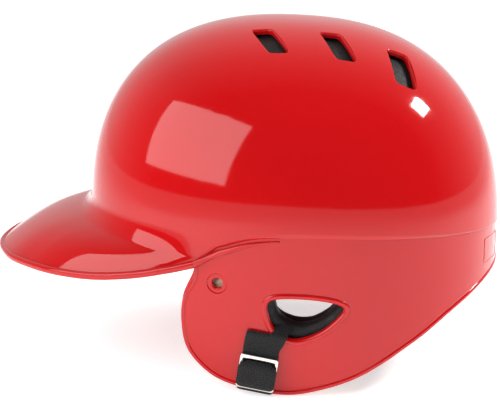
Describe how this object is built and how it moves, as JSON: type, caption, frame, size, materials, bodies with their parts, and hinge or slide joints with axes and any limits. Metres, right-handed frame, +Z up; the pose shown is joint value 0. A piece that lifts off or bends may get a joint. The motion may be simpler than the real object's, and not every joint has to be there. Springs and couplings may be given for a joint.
{
  "type": "batting helmet",
  "caption": "Hard-shell batting helmet with a brim, two ear flaps with ear holes, slot vents, foam padding inside, and webbing straps with metal sliders.",
  "frame": {"origin": "on the surface the helmet stands on, under the middle of its box", "axes": "+Z up, the wearer faces -Y (the brim points along -Y), the wearer's left ear is on +X"},
  "size_m": [0.2014, 0.2934, 0.1979],
  "materials": {
    "shell_plastic": "high-gloss injection-moulded ABS",
    "pad_cover": "fine-grained synthetic leather over foam",
    "foam": "closed-cell foam, matt",
    "webbing": "woven polyester webbing",
    "slider_metal": "bright nickel plate"
  },
  "bodies": {
    "helmet": {"shell": "shell_plastic", "crown_pad": "pad_cover", "forehead_pad": "pad_cover", "sweatband": "pad_cover", "rear_pad": "pad_cover", "nape_pad": "pad_cover", "temple_pad_left": "pad_cover", "temple_pad_right": "pad_cover", "side_pad_left": "pad_cover", "side_pad_right": "pad_cover", "back_side_pad_left": "pad_cover", "back_side_pad_right": "pad_cover", "ear_pad_left": "pad_cover", "ear_pad_right": "pad_cover", "ear_foam_left": "foam", "ear_foam_right": "foam", "strap_left": "webbing", "strap_right": "webbing"},
    "left_slider": {"slider_left": "slider_metal", "slider_keeper_left": "webbing"},
    "right_slider": {"slider_right": "slider_metal", "slider_keeper_right": "webbing"}
  },
  "joints": [
    {"name": "left_slider_slide", "type": "slide", "parent": "helmet", "child": "left_slider", "axis": [0.1362, 0.149, 0.9794], "range_m": [0, 0.006]},
    {"name": "right_slider_slide", "type": "slide", "parent": "helmet", "child": "right_slider", "axis": [-0.1362, 0.149, 0.9794], "range_m": [0, 0.006]}
  ]
}
